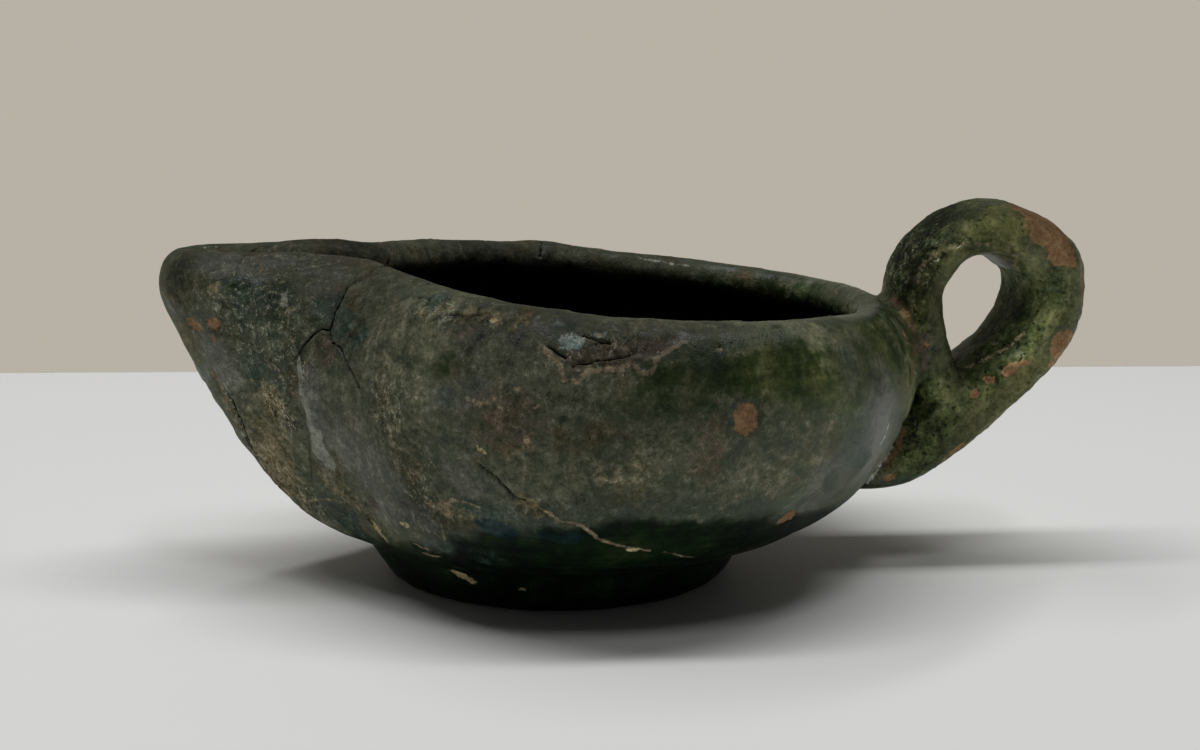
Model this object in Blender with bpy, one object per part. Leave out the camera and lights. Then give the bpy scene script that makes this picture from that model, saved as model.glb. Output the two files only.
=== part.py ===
"""A wheel-thrown earthenware oil lamp: a low bowl on a flat foot, a pinched spout and a loop handle."""

import bpy
import bmesh
from math import asin, copysign, cos, pi, radians, sin
from mathutils import Vector

MM = 0.001

# Sizes in millimetres. The origin is the centre of the foot's flat underside.
# +X runs towards the handle, -X towards the spout and +Z is up.

# Foot, a low disc whose side leans out
FOOT_RADIUS = 23.0
FOOT_TOP_RADIUS = 26.3
FOOT_HEIGHT = 6.0

# Bowl at its widest, seen from above
BELLY_RADIUS = 41.1
BELLY_CENTRE_X = 7.6

# Crest of the bowl's turned-in rim: how far inside the belly it is,
# and how far its centre is towards the handle
RIM_TURN_IN = 7.1
RIM_OFFSET_X = 0.9

# Spout at its widest, seen from above, where it leaves the bowl and round its tip
SPOUT_LENGTH = 20.3
SPOUT_ROOT_HALF_WIDTH = 16.5
SPOUT_TIP_RADIUS = 10.0
SPOUT_FLANK_BULGE = 1.4

# Slot between the folded lips of the spout, measured at their crests, and the clay past its end
SLOT_END_INSET = 3.5
SLOT_ROOT_HALF_WIDTH = 5.2
SLOT_TIP_RADIUS = 4.7

# Heights: the rim rises from the handle towards the pinch and then runs level along the spout,
# and the wall is widest a little below it
RIM_HEIGHT = 36.4
RIM_RISE = 7.6
RIM_RISE_POWER = 1.35
RIM_RISE_PAST_PINCH = 9.4
BELLY_DROP = 9.4
SPOUT_BELLY_DROP = 5.0

# Clay thickness
WALL = 4.6
FLOOR = 5.0
FLOOR_RADIUS = 16.0

# Shape of the lower wall's curve: 1 and 1 give a quarter ellipse, and more makes it flatter
LOWER_SPREAD_POWER = 1.14
LOWER_RISE_POWER = 1.14
SPOUT_SPREAD_POWER = 1.0
SPOUT_RISE_POWER = 1.7

# Handle: a strap curled into a loop in the plane Y = 0. It starts inside the lower wall, swings out
# and over, and comes down along the wall into its own root. Each point is X and Z from the belly's
# outermost point on the handle side, then the share of the full thickness there.
STRAP_WIDTH = 16.5
STRAP_THICKNESS = 9.4
STRAP_EDGE_FULLNESS = 3.2
STRAP_ROOT_SHARE = 0.46
STRAP_PATH = (
    (-3.7, -13.1, 0.76),
    (1.2, -9.7, 0.98),
    (8.8, -3.4, 1.0),
    (15.6, 3.8, 0.98),
    (18.5, 11.0, 0.98),
    (16.1, 16.0, 0.92),
    (9.9, 18.9, 0.78),
    (4.0, 16.9, 0.64),
    (0.2, 11.0, 0.56),
    (0.6, 4.0, 0.58),
    (3.0, -1.6, 0.60),
    (6.6, -4.5, 0.60),
)

# Number of points along each stretch of a half outline, and of rows along each stretch of the wall
BOWL_POINTS = 26
FLANK_POINTS = 9
TIP_POINTS = 6
FOOT_ROWS = 2
LOWER_ROWS = 9
UPPER_ROWS = 6
LIP_ROWS = 6
INNER_UPPER_ROWS = 4
INNER_LOWER_ROWS = 6
CREASE_SOFTENING = 3
SPOUT_BLEND_POINTS = 3
STRAP_STATIONS = 44
STRAP_SIDES = 20

# Places that follow from the sizes above
BELLY_HEIGHT = RIM_HEIGHT - BELLY_DROP
SPOUT_BELLY_HEIGHT = RIM_HEIGHT + RIM_RISE - SPOUT_BELLY_DROP
BELLY_HANDLE_X = BELLY_CENTRE_X + BELLY_RADIUS
SPOUT_TIP_X = BELLY_CENTRE_X - BELLY_RADIUS - SPOUT_LENGTH
RIM_RADIUS = BELLY_RADIUS - RIM_TURN_IN
RIM_CENTRE_X = BELLY_CENTRE_X + RIM_OFFSET_X
RIM_HANDLE_X = RIM_CENTRE_X + RIM_RADIUS
RIM_PINCH_X = RIM_CENTRE_X - RIM_RADIUS

GLAZE_COLOUR = (0.065, 0.085, 0.045, 1.0)
GLAZE_ROUGHNESS = 0.38


def clear_scene():
    for obj in list(bpy.data.objects):
        bpy.data.objects.remove(obj, do_unlink=True)


def mix(a, b, share):
    return a + (b - a) * share


def smooth_step(share):
    share = min(max(share, 0.0), 1.0)
    return share * share * (3.0 - 2.0 * share)


def half_outline(centre_x, radius, root_half_width, tip_radius, tip_x, bulge):
    """Half of a plan outline, from the handle side to the tip: round bowl, spout flank and round tip."""
    meet = pi - asin(root_half_width / radius)
    flank_start = Vector((centre_x + radius * cos(meet), root_half_width))
    flank_end = Vector((tip_x + tip_radius, tip_radius))
    points = []
    for i in range(BOWL_POINTS):
        angle = meet * i / BOWL_POINTS
        points.append(Vector((centre_x + radius * cos(angle), radius * sin(angle))))
    for i in range(FLANK_POINTS):
        share = i / FLANK_POINTS
        point = flank_start.lerp(flank_end, share)
        points.append(point + Vector((0.0, bulge * sin(pi * share))))
    for i in range(TIP_POINTS + 1):
        angle = 0.5 * pi * (1.0 + i / TIP_POINTS)
        points.append(Vector((tip_x + tip_radius + tip_radius * cos(angle), tip_radius * sin(angle))))
    return points


def ring(half):
    """The half outline and its mirror image as one ring, with the crease at the spout's root softened."""
    points = list(half) + [Vector((p.x, -p.y)) for p in reversed(half[1:-1])]
    count = len(points)
    for _ in range(CREASE_SOFTENING):
        points = [
            (points[i - 1] + 2.0 * points[i] + points[(i + 1) % count]) / 4.0
            for i in range(count)
        ]
    return points


def belly_ring(inset):
    return ring(half_outline(
        BELLY_CENTRE_X,
        BELLY_RADIUS - inset,
        SPOUT_ROOT_HALF_WIDTH - inset,
        SPOUT_TIP_RADIUS - inset,
        SPOUT_TIP_X + inset,
        SPOUT_FLANK_BULGE,
    ))


def crest_ring(inset):
    return ring(half_outline(
        RIM_CENTRE_X,
        RIM_RADIUS - inset,
        SLOT_ROOT_HALF_WIDTH - inset,
        SLOT_TIP_RADIUS - inset,
        SPOUT_TIP_X + SLOT_END_INSET + inset,
        0.0,
    ))


def round_ring(radius, towards):
    """A circle about the foot's axis with its points in the directions of another ring's points."""
    return [p.normalized() * radius for p in towards]


def spout_shares():
    """How far each point of a ring belongs to the spout, from 0 on the bowl to 1 at the tip."""
    half_count = BOWL_POINTS + FLANK_POINTS + TIP_POINTS
    shares = []
    for i in range(half_count + 1):
        past = i - BOWL_POINTS + SPOUT_BLEND_POINTS
        shares.append(smooth_step(past / (FLANK_POINTS + SPOUT_BLEND_POINTS)))
    return shares + list(reversed(shares[1:-1]))


def rim_height(x):
    share = (RIM_HANDLE_X - x) / (RIM_HANDLE_X - RIM_PINCH_X + RIM_RISE_PAST_PINCH)
    return RIM_HEIGHT + RIM_RISE * min(max(share, 0.0), 1.0) ** RIM_RISE_POWER


def lower_curve(share, spout_share):
    """How far out and how far up the lower wall is, each from 0 at the foot to 1 at the belly."""
    turn = 0.5 * pi * share
    spread = sin(turn) ** mix(LOWER_SPREAD_POWER, SPOUT_SPREAD_POWER, spout_share)
    rise = 1.0 - max(cos(turn), 0.0) ** mix(LOWER_RISE_POWER, SPOUT_RISE_POWER, spout_share)
    return spread, rise


def lower_wall(foot, belly, foot_z, belly_z, share):
    """One row of the lower wall, as its points seen from above and their heights."""
    points = []
    heights = []
    for low, high, high_z, spout_share in zip(foot, belly, belly_z, spout_shares()):
        spread, rise = lower_curve(share, spout_share)
        points.append(low.lerp(high, spread))
        heights.append(mix(foot_z, high_z, rise))
    return points, heights


def wall_rows():
    """The rows of the skin as (x, y, z) points, from the underside's edge out, up, over the rim and in."""
    belly = belly_ring(0.0)
    crest = crest_ring(0.0)
    count = len(belly)
    belly_z = [mix(BELLY_HEIGHT, SPOUT_BELLY_HEIGHT, share) for share in spout_shares()]
    crest_z = [rim_height(p.x) for p in crest]
    foot_top = round_ring(FOOT_TOP_RADIUS, belly)
    rows = []

    def add(points, heights):
        rows.append([(p.x, p.y, z) for p, z in zip(points, heights)])

    # Foot: its side leans out from the underside
    for i in range(FOOT_ROWS):
        share = i / FOOT_ROWS
        radius = mix(FOOT_RADIUS, FOOT_TOP_RADIUS, share)
        add(round_ring(radius, belly), [FOOT_HEIGHT * share] * count)

    # Lower wall, from the top of the foot to the belly
    for i in range(LOWER_ROWS):
        add(*lower_wall(foot_top, belly, FOOT_HEIGHT, belly_z, i / LOWER_ROWS))

    # Upper wall, from the belly to the crest of the rim
    for i in range(UPPER_ROWS):
        turn = 0.5 * pi * i / UPPER_ROWS
        points = [c.lerp(b, cos(turn)) for b, c in zip(belly, crest)]
        heights = [mix(b, c, sin(turn)) for b, c in zip(belly_z, crest_z)]
        add(points, heights)

    # Lip, a half round from the crest to the underside of the turned-in rim
    lip_radius = 0.5 * WALL
    for i in range(LIP_ROWS):
        turn = pi * i / LIP_ROWS
        points = crest_ring(lip_radius * sin(turn))
        heights = [z - lip_radius * (1.0 - cos(turn)) for z in crest_z]
        add(points, heights)

    # Inner wall: out under the rim, then down to the floor
    inner = belly_ring(WALL)
    floor = round_ring(FLOOR_RADIUS, inner)
    for i in range(INNER_UPPER_ROWS):
        turn = 0.5 * pi * (1.0 - i / INNER_UPPER_ROWS)
        points = [c.lerp(b, cos(turn)) for b, c in zip(inner, crest)]
        heights = [mix(b, c - WALL, sin(turn)) for b, c in zip(belly_z, crest_z)]
        add(points, heights)
    for i in range(INNER_LOWER_ROWS + 1):
        add(*lower_wall(floor, inner, FLOOR, belly_z, 1.0 - i / INNER_LOWER_ROWS))
    return rows


def skin(rows):
    """A closed mesh through the rows of points, each row a ring, with flat ends."""
    mesh = bmesh.new()
    rings = [[mesh.verts.new(Vector(p) * MM) for p in row] for row in rows]
    for lower, upper in zip(rings, rings[1:]):
        for i in range(len(lower)):
            j = (i + 1) % len(lower)
            mesh.faces.new((lower[i], lower[j], upper[j], upper[i]))
    mesh.faces.new(list(reversed(rings[0])))
    mesh.faces.new(rings[-1])
    bmesh.ops.recalc_face_normals(mesh, faces=mesh.faces)
    return mesh


def smooth_path(points, count):
    """Evenly numbered points on a Catmull-Rom curve through the given ones."""
    knots = [Vector(p) for p in points]
    knots = [2.0 * knots[0] - knots[1]] + knots + [2.0 * knots[-1] - knots[-2]]
    spans = len(knots) - 3
    path = []
    for i in range(count + 1):
        place = spans * i / count
        k = min(int(place), spans - 1)
        t = place - k
        a, b, c, d = knots[k:k + 4]
        path.append(0.5 * (
            2.0 * b + (c - a) * t
            + (2.0 * a - 5.0 * b + 4.0 * c - d) * t * t
            + (3.0 * b - a - 3.0 * c + d) * t * t * t
        ))
    return path


def strap_path():
    """The strap's middle line as (x, z, thickness), from inside the lower wall's clay round the loop."""
    spread, rise = lower_curve(STRAP_ROOT_SHARE, 0.0)
    root_x = mix(FOOT_TOP_RADIUS, BELLY_HANDLE_X, spread) - 0.5 * WALL
    root_z = mix(FOOT_HEIGHT, BELLY_HEIGHT, rise)
    knots = [(root_x, root_z, 0.5 * WALL)]
    for x, z, share in STRAP_PATH:
        knots.append((BELLY_HANDLE_X + x, BELLY_HEIGHT + z, share * STRAP_THICKNESS))
    return smooth_path(knots, STRAP_STATIONS)


def rounded(value, reach):
    """A sine or cosine drawn out towards the corners of an oblong, times its reach."""
    return copysign(abs(value) ** (2.0 / STRAP_EDGE_FULLNESS), value) * reach


def strap_rows():
    """Sections of the strap along its path, each a rounded oblong across the loop's plane."""
    path = strap_path()
    last = len(path) - 1
    rows = []
    for i, (x, z, thickness) in enumerate(path):
        before = path[max(i - 1, 0)]
        after = path[min(i + 1, last)]
        ahead = Vector((after.x - before.x, after.y - before.y)).normalized()
        row = []
        for k in range(STRAP_SIDES):
            angle = 2.0 * pi * k / STRAP_SIDES
            side = rounded(cos(angle), 0.5 * STRAP_WIDTH)
            out = rounded(sin(angle), 0.5 * thickness)
            row.append((x - ahead.y * out, side, z + ahead.x * out))
        rows.append(row)
    return rows


def clay():
    material = bpy.data.materials.new("green_glazed_clay")
    material.use_nodes = True
    shader = material.node_tree.nodes["Principled BSDF"]
    shader.inputs["Base Color"].default_value = GLAZE_COLOUR
    shader.inputs["Roughness"].default_value = GLAZE_ROUGHNESS
    shader.inputs["Metallic"].default_value = 0.0
    return material


def add_object(name, mesh, material):
    data = bpy.data.meshes.new(name)
    mesh.to_mesh(data)
    mesh.free()
    data.materials.append(material)
    data.shade_smooth()
    data.set_sharp_from_angle(angle=radians(40.0))
    obj = bpy.data.objects.new(name, data)
    bpy.context.scene.collection.objects.link(obj)
    return obj


def build():
    clear_scene()
    material = clay()
    lamp = add_object("oil_lamp", skin(wall_rows()), material)
    strap = add_object("handle_strap", skin(strap_rows()), material)
    strap.hide_render = True
    strap.display_type = "WIRE"
    joined = lamp.modifiers.new("handle", "BOOLEAN")
    joined.operation = "UNION"
    joined.solver = "EXACT"
    joined.object = strap


build()
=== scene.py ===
from collections import namedtuple
from math import cos, hypot, pi, radians, sin

import bmesh
import bpy
import numpy as np
from mathutils import Matrix, Vector, kdtree, noise
from mathutils.bvhtree import BVHTree


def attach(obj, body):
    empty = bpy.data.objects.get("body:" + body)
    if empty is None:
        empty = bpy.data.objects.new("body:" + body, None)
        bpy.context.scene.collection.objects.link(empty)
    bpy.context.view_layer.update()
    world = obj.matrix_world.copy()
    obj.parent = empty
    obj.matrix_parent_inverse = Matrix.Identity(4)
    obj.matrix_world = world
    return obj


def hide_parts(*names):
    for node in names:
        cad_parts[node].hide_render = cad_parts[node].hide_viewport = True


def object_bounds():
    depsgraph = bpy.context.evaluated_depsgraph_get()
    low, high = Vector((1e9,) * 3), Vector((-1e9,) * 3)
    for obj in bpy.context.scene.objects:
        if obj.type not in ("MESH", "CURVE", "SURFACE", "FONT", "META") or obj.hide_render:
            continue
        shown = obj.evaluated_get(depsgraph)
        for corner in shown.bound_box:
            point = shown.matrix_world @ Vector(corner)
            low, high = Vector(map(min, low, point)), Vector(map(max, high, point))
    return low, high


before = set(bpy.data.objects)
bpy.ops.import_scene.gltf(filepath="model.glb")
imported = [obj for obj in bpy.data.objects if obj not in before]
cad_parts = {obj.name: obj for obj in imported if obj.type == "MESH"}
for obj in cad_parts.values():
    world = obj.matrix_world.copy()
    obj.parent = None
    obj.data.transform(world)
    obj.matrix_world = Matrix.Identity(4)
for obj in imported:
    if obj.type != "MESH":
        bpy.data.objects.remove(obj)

# The lamp is in millimetres while its mesh is worked on, and in metres in Blender.
# X runs towards the handle, the front that the photograph shows is -Y, and Z is up.
MM = 0.001
CAD_LOW, CAD_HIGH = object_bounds()

# Photograph: its frame in pixels and the camera that took it
FRAME_WIDTH = 1200
FRAME_HEIGHT = 750
SENSOR_WIDTH = 36.0
LENS = 52.0
CAMERA_PLACE = Vector((-14.83, -232.59, 71.0))
CAMERA_PITCH = radians(-10.9)
CAMERA_TURN = radians(-5.0)
PIXELS_PER_SLOPE = FRAME_WIDTH * LENS / SENSOR_WIDTH
NEAREST_DEPTH = 180.0
FARTHEST_DEPTH = 280.0
DEPTH_STEP = 4.0

# Fineness of the skin, in millimetres, and how it is smoothed
SKIN_STEP = 0.97
CAD_FACET_PASSES = 24
REFINED_PASSES = 5
SMOOTH_SHARE = 0.5
UNSHRINK_SHARE = -0.53
CRACK_BAND = 0.7
STROKE_STEP = 0.15

# The bowl and the handle, for telling the skin's regions apart
BOWL_CENTRE_X = 7.6
BOWL_INNER_REACH = 38.2
BELLY_HEIGHT = 27.0
CAVITY_POINTS = (
    Vector((6.0, 0.0, 21.0)),
    Vector((-14.0, 0.0, 26.0)),
    Vector((-33.0, 0.0, 33.5)),
    Vector((24.0, 0.0, 22.0)),
)
HANDLE_START_X = 43.5
HANDLE_ROOT_SLOPE = 0.62
HANDLE_ROOT_HEIGHT = 13.0
HANDLE_HALF_WIDTH = 9.5

# A mark on the near side: its middle in the photograph's pixels, half its width and height there,
# its strength and its turn in degrees. Below, marks are rows of these.
Mark = namedtuple("Mark", "x y wide high strength turn", defaults=(1.0, 0.0))

# Cracks, veins, glints and the crease of the pinch, as lines of pixels
RIM_CRACK = ((389, 269), (376, 272), (360, 282), (346, 291), (342, 301), (334, 318), (330, 332))
CRACK_LEFT = ((330, 332), (322, 331), (314, 336), (303, 346), (295, 357))
CRACK_RIGHT = ((330, 332), (331, 342), (339, 348), (346, 363), (355, 378), (358, 388))
LOW_CRACK = ((478, 464), (492, 474), (503, 486), (515, 497), (531, 503), (548, 516))
LOW_SEAM = (
    (522, 501), (534, 504), (545, 510), (560, 520), (574, 522), (582, 525), (591, 532), (601, 539),
    (613, 543), (626, 546), (640, 549), (650, 550),
)
SEAM_END = ((664, 551), (672, 553), (684, 555), (692, 556))
SCAR_EDGE = (
    (546, 352), (558, 364), (565, 380), (577, 381), (587, 373), (601, 370), (617, 370), (632, 364),
    (641, 374), (652, 373), (655, 361), (667, 354), (683, 346),
)
SCAR_LEFT_STEP = ((547, 347), (556, 353), (566, 359))
SCAR_LOW_STEP = ((572, 366), (588, 363), (604, 361), (618, 358), (634, 356))
SCAR_TOP = ((581, 336), (590, 338), (601, 342), (611, 343))
RIM_DENT = ((446, 319), (455, 317), (466, 319), (482, 317))
RIM_NICK = ((417, 302), (424, 301), (430, 304))
LEFT_VEIN = ((425, 503), (446, 503), (454, 499), (466, 502), (480, 507))
SHORT_VEIN = ((438, 516), (443, 528), (446, 540))
MIDDLE_VEIN = ((540, 405), (530, 411), (518, 417))
UPPER_VEIN = ((468, 398), (482, 404), (496, 399), (508, 392), (520, 388))
BRANCH_VEIN = ((496, 400), (503, 412), (514, 421))
ROUND_VEIN = ((512, 424), (524, 430), (528, 442), (518, 452), (506, 460))
FOOT_STREAK = ((414, 543), (421, 546), (429, 549))
FOOT_STREAK_LOW = ((424, 552), (432, 555), (441, 556))
SPOUT_SCRATCHES = (
    ((224, 331), (230, 333), (237, 339)),
    ((264, 360), (271, 363), (279, 370)),
    ((243, 381), (252, 380), (262, 382)),
    ((211, 294), (217, 293), (220, 289)),
    ((259, 274), (262, 270), (260, 265)),
    ((266, 310), (270, 316), (276, 321)),
    ((286, 313), (289, 319), (287, 327), (290, 333)),
    ((296, 335), (294, 345), (296, 353)),
)
# Painted reflections and highlights: on the bowl's right edge, the spout's lip and the rims
RIGHT_SHEEN = ((893, 446), (886, 458), (876, 471), (868, 482))
SHEEN_STREAK = ((889, 424), (886, 434), (881, 444))
LIP_GLINT = ((205, 249), (212, 248), (218, 248))
FAR_LIP_GLINT = ((378, 246), (384, 245), (390, 246))
FAR_RIM_GLINT = ((640, 261), (660, 264), (676, 267), (690, 269))
# The ridge around the handle's hole, painted pale as a highlight along it
HANDLE_RIDGE = ((917, 285), (921, 270), (930, 259), (943, 251), (958, 246), (974, 243), (988, 245))
RIDGE_GLINT = ((958, 247), (961, 246))
RIDGE_GLINT_LOW = ((937, 261), (939, 260))
# The lower ridge of the handle, painted pale as a highlight along it
HANDLE_LOW_RIDGE = ((1024, 333), (1012, 344), (1000, 351), (988, 358), (977, 364), (966, 368))
RIM_CREST = ((600, 321), (640, 323), (700, 325), (760, 324), (800, 321), (830, 317), (855, 311))
FLAKE_EDGE = ((364, 500), (367, 510), (368, 521), (375, 528), (386, 534))
LOW_FLAKE = ((280, 478), (296, 490), (308, 499), (322, 497), (336, 500), (349, 503))
FAR_RIM_CRACK = ((541, 243), (542, 252), (541, 262))
SPOUT_TOP_CRACK = ((238, 262), (246, 255), (262, 247))
UNDERSIDE_FLAKE = (
    (222, 398), (228, 407), (235, 421), (241, 436), (250, 451), (262, 466), (273, 479), (285, 492),
)
CREASE_CRACK = ((301, 403), (304, 420), (307, 440), (308, 458), (312, 484), (315, 494))
PINCH_CREASE = ((293, 356), (296, 375), (300, 401), (305, 435), (308, 478), (318, 500))
HANDLE_SEAM = ((893, 300), (904, 308), (912, 330), (914, 365), (911, 395), (904, 424), (897, 447), (887, 463))

# Bare clay where the glaze is gone
CLAY_MARKS = {
    "bowl": (747, 420, 13, 16, 1.0, 10.0),
    "low_bowl": (787, 518, 11, 5.5, 0.9, 25.0),
    "spout": (213, 325, 8, 7, 0.75),
    "spout_left": (187, 327, 11, 8, 0.62, -20.0),
    "spout_dot": (212, 341, 4, 5, 0.6),
    "spout_edge": (212, 392, 4, 20, 0.5, 30.0),
    "by_seam": (905, 338, 4, 12, 0.55),
    "by_seam_low": (924, 345, 5, 9, 0.5),
    "handle_top": (1040, 215, 34, 15, 0.85, -36.0),
    "handle_top_low": (1044, 234, 22, 12, 0.8, -36.0),
    "handle_shoulder": (1063, 252, 18, 15, 1.0, -20.0),
    "handle_rim": (1085, 288, 3, 20),
    "handle_right_low": (1060, 345, 12, 14, 0.78, -35.0),
    "handle_edge_right": (1052, 362, 7, 5, 0.6, -40.0),
    "handle_patch": (1010, 370, 9, 5.5, 0.9, 10.0),
    "handle_patch_right": (1022, 364, 11, 4.5, 0.7, 10.0),
    "handle_dot": (989, 380, 6, 4.5),
    "handle_dot_low": (975, 394, 5.5, 5.5, 0.85),
    "handle_edge": (952, 455, 18, 2.5, 0.8, 33.0),
    "handle_heel": (889, 478, 9, 4, 0.7, 10.0),
}

# Pale chips down to lime and light clay
CREAM_MARKS = {
    "foot_oval": (463, 577, 14, 3.2, 0.9, -16.0),
    "foot_left": (377, 531, 12, 3, 0.8, -32.0),
    "foot_far_left": (404, 525, 6, 3, 0.7, 20.0),
    "seam_oval": (634, 549, 9, 2.8, 0.9, -8.0),
    "by_rim": (719, 351, 6, 2.5, 0.75, -15.0),
    "middle": (482, 451, 8, 3, 0.7, -14.0),
    "foot_grey": (524, 589, 8, 2.5, 0.5),
    "rim_left": (492, 322, 6, 3, 0.6),
    "rim_dot": (600, 335, 4, 2.5, 0.7),
}

# Tan, olive-brown dirt
TAN_MARKS = {
    "low_spout": (275, 460, 24, 42, 1.0, 14.0),
    "speckled": (272, 405, 16, 18),
    "spout_streak": (280, 298, 10, 16, 0.7),
    "spout_dash": (213, 288, 10, 4, 0.9, 25.0),
    "bowl_left": (388, 385, 30, 55, 0.2, 8.0),
    "rim_left": (476, 318, 30, 10, 0.65, -12.0),
    "rim_middle": (515, 322, 26, 7, 0.45, -6.0),
    "rim_specks": (430, 316, 24, 8, 0.35),
    "middle": (605, 474, 60, 14, 0.3),
    "crackle": (402, 450, 14, 40, 0.3, 5.0),
    "low_left": (345, 494, 36, 10, 0.6, -20.0),
    "by_low_crack": (532, 506, 16, 7, 0.8, -30.0),
    "left_vein": (445, 508, 28, 8, 0.7),
    "strap_edge": (1004, 258, 20, 6, 0.5, -40.0),
}

# Olive film, the glaze turned dull
OLIVE_MARKS = {
    "rim_right": (790, 330, 100, 8, 0.9),
    "rim_middle": (650, 322, 60, 5, 0.8),
    "rim_left": (440, 300, 60, 12, 0.6, -16.0),
    "bowl_left": (405, 362, 34, 56, 0.6, 10.0),
    "right_low": (775, 465, 60, 30, 0.35, 8.0),
    "patch_right": (853, 336, 12, 8, 0.8),
    "middle": (640, 462, 90, 24, 0.3),
    "spout_low": (270, 440, 30, 60, 0.4, 24.0),
}

# Yellow moss green on the handle
MOSS_MARKS = {
    "top": (1000, 225, 34, 20, 0.95, 6.0),
    "inner": (925, 285, 10, 40, 0.4, -24.0),
    "ridge": (950, 256, 34, 8, 0.6, 24.0),
    "low": (1015, 396, 56, 22, 0.6, 42.0),
    "right": (1056, 315, 20, 14, 0.5),
}

# Purple-brown stains
PURPLE_MARKS = {
    "scar": (606, 356, 46, 14, 1.0, 6.0),
    "scar_right": (655, 346, 28, 10, 1.0, 12.0),
    "under_scar": (505, 420, 46, 34, 0.55, 10.0),
    "by_crack": (327, 352, 12, 16, 0.8),
    "rim_left": (352, 262, 26, 8, 0.6, -20.0),
    "bowl_right": (706, 455, 22, 34, 0.5),
    "rim_far_left": (392, 312, 10, 22, 0.45),
    "left_low": (373, 503, 8, 7, 0.75),
    "left_low_right": (402, 503, 7, 5, 0.7),
    "junction": (336, 300, 16, 20, 0.4),
    "by_seam": (921, 356, 8, 28, 0.8),
    "under_scar_left": (466, 334, 24, 8, 0.6),
    "far_lip": (368, 246, 30, 5, 0.8),
}

# Grey dirt, smooth and light; painted reflection and painted light where noted
GREY_MARKS = {
    # Beside the pinch crease: light grey, partly painted light where the crease's side faces the light
    "valley": (316, 420, 13, 56, 1.0, 6.0),
    "left_low": (375, 480, 62, 36, 0.8, -25.0),
    # Grey dirt with a painted reflection along the spout's lower left edge
    "spout_left": (212, 362, 22, 34, 0.7, 30.0),
    "spout_top": (250, 262, 66, 10, 0.7, 2.0),
    # Painted reflection: the broad pale sheen along the bowl's right edge
    "right_edge": (880, 430, 18, 52, 0.9, -12.0),
    "right_low": (830, 480, 50, 24, 0.5, 28.0),
    "middle_left": (458, 392, 30, 20, 0.7),
    "low_middle": (470, 480, 50, 20, 0.6, -20.0),
}

# Clean, deep green glaze
GREEN_MARKS = {
    "right": (800, 372, 96, 32, 1.0, 2.0),
    "right_top": (872, 352, 26, 34, 0.8, -10.0),
    "below_scar": (702, 372, 46, 30, 0.8),
    "middle": (640, 398, 50, 22, 0.5),
    "spout": (244, 285, 26, 13, 0.6, -10.0),
    "spout_low": (282, 330, 34, 24, 0.3),
    "junction": (318, 320, 11, 14, 0.6),
    "bowl_left": (436, 362, 20, 30, 0.35),
    "handle_top": (995, 226, 26, 16, 1.0, 10.0),
    "handle_inner_right": (1034, 254, 12, 18),
    "handle_left": (928, 296, 9, 34),
    "handle_low": (1000, 400, 60, 24, 0.5, 42.0),
    "handle_root": (948, 400, 12, 26, 0.9),
    "low_band": (720, 533, 130, 13, 1.0, 2.0),
}

# Blue-green glaze on the spout side
TEAL_MARKS = {
    "spout": (247, 286, 24, 13, 1.0, -8.0),
    "spout_around": (262, 302, 46, 32, 0.5),
    "spout_low": (262, 372, 28, 16, 0.6),
    "junction": (328, 312, 15, 17),
    "by_crack": (352, 330, 18, 30, 0.7),
    "left_rim": (438, 303, 14, 9, 0.9),
    "left_middle": (460, 392, 26, 16, 0.6),
    "scar": (560, 326, 16, 9, 0.8),
    "heel": (345, 517, 34, 12, 0.9, -20.0),
    "below_crack": (480, 506, 40, 10, 0.6),
    "right": (852, 378, 30, 26, 0.35),
    "right_low": (860, 440, 24, 40, 0.6, -10.0),
    "foot_left": (440, 540, 60, 12, 0.5),
    "handle": (1062, 288, 16, 18, 0.45),
    "handle_low": (1008, 356, 26, 9, 0.25, 30.0),
}

# Blue stains in the glaze
BLUE_MARKS = {
    "low": (497, 528, 22, 9, 1.0, -6.0),
    "low_right": (548, 534, 40, 8, 0.4, -4.0),
    "handle": (1046, 300, 12, 14, 0.3),
    "handle_left": (935, 348, 8, 8, 0.4),
}

# Bright specks on the iridescent glaze by the scar, partly painted highlights
WHITE_MARKS = {
    "scar": (572, 343, 14, 9, 0.8),
    "scar_dot": (598, 335, 8, 3.5, 0.7),
}

# Smooth light grey flakes of old glaze, and painted light beside the pinch crease where noted
FLAKE_MARKS = {
    # Beside the pinch crease: partly painted light where the crease's side faces the light
    "valley": (318, 445, 7.5, 19, 1.0, 16.0),
    "valley_low": (328, 461, 7, 10, 1.0, 20.0),
    "leaf": (284, 299, 5, 9, 0.7),
    "rim_left": (446, 322, 8, 3, 0.6, 10.0),
    # Beside the pinch crease: partly painted light where the crease's side faces the light
    "valley_top": (299, 378, 3.5, 24, 0.9, 4.0),
    "valley_mid": (307, 413, 4.5, 22, 0.9, 10.0),
}

# Where the surface is crazed into small flakes
CRAZED_MARKS = {
    "spout_flecks": (277, 406, 17, 16, 1.2),
    "spout_flecks_low": (287, 418, 9, 14, 1.1),
    "spout": (255, 315, 62, 52, 0.75, -10.0),
    "valley": (290, 350, 30, 50, 0.7),
    "bowl_left": (388, 405, 26, 30, 0.6),
    "left_low": (420, 492, 22, 40, 0.7),
    "handle_outer": (906, 262, 18, 32, 0.6, 20.0),
    "heel": (300, 488, 50, 12, 0.7, -24.0),
    "rim_left": (450, 315, 46, 16, 0.6, -10.0),
    "scar": (615, 352, 70, 26, 0.5, 4.0),
    "spout_lip": (320, 262, 34, 10, 0.6),
    "spout_edge": (245, 440, 16, 50, 0.7, 34.0),
}

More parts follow.
